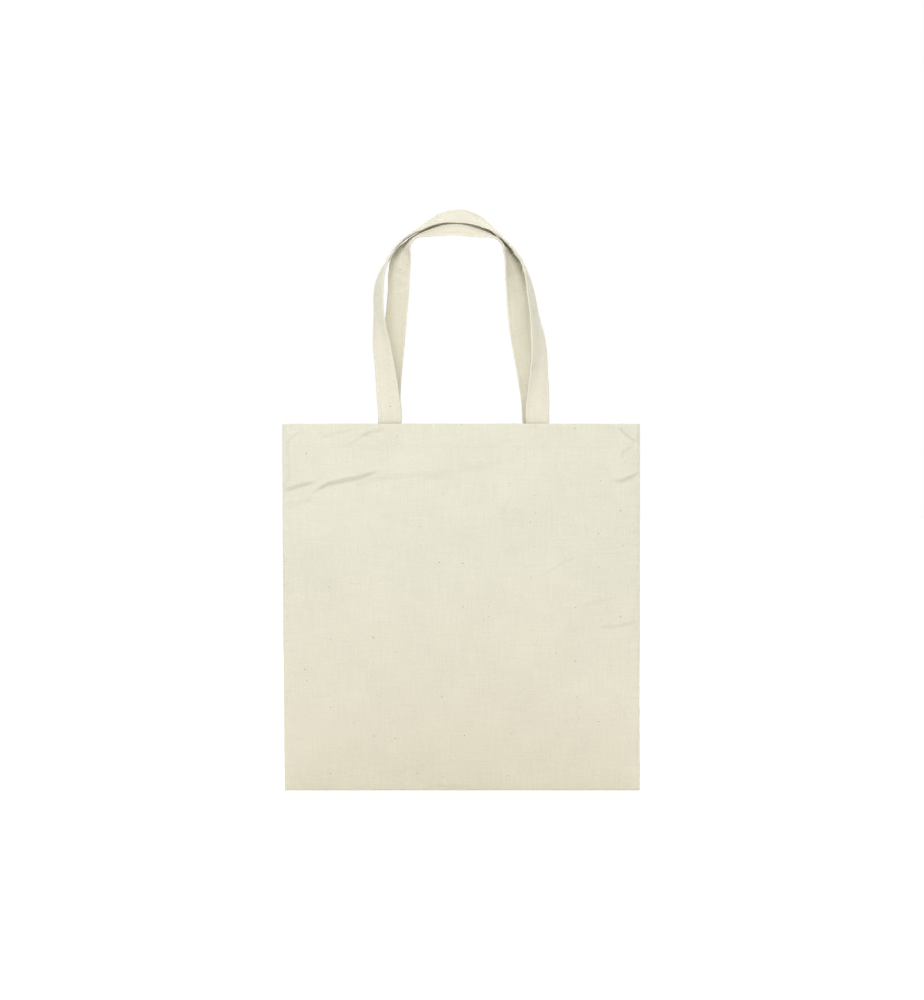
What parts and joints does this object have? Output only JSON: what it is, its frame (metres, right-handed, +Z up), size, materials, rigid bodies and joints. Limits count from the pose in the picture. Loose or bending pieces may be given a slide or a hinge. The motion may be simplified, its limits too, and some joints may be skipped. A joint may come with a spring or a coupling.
{
  "type": "canvas tote bag",
  "caption": "Flat open-topped cotton canvas tote bag with long strap handles sewn inside its hems; the mouth opens and both handles fall outward.",
  "frame": {"origin": "middle of the bottom edge, on the plane between the two walls", "axes": "+Z up from the bottom seam to the mouth and handles, -Y the way the front wall faces, +X to the right seen from the front"},
  "size_m": [0.38, 0.0374, 0.6188],
  "materials": {
    "bag_canvas": "plain-weave unbleached cotton canvas, matte",
    "strap_canvas": "folded unbleached cotton canvas, matte",
    "thread": "undyed spun sewing thread"
  },
  "bodies": {
    "back": {"back_panel": "bag_canvas", "back_hem": "bag_canvas", "back_hem_stitching": "thread", "back_handle_left_end": "strap_canvas", "back_handle_left_end_stitching": "thread", "back_handle_right_end": "strap_canvas", "back_handle_right_end_stitching": "thread", "left_side_seam": "bag_canvas", "right_side_seam": "bag_canvas", "left_seam_overlock": "thread", "right_seam_overlock": "thread", "bottom_seam": "bag_canvas", "bottom_seam_overlock": "thread"},
    "front": {"front_panel": "bag_canvas", "front_hem": "bag_canvas", "front_hem_stitching": "thread", "front_handle_left_end": "strap_canvas", "front_handle_left_end_stitching": "thread", "front_handle_right_end": "strap_canvas", "front_handle_right_end_stitching": "thread"},
    "front_handle": {"front_handle": "strap_canvas", "front_handle_stitching": "thread"},
    "back_handle": {"back_handle": "strap_canvas", "back_handle_stitching": "thread"}
  },
  "joints": [
    {"name": "mouth_open", "type": "hinge", "parent": "back", "child": "front", "pos_m": [0, -0.0019, 0], "axis": [1, 0, 0], "range_deg": [0, 8]},
    {"name": "front_handle_fold", "type": "hinge", "parent": "front", "child": "front_handle", "pos_m": [0, -0.0142, 0.3906], "axis": [1, 0, 0], "range_deg": [0, 165]},
    {"name": "back_handle_fold", "type": "hinge", "parent": "back", "child": "back_handle", "pos_m": [0, 0.0142, 0.3906], "axis": [-1, 0, 0], "range_deg": [0, 165]}
  ]
}
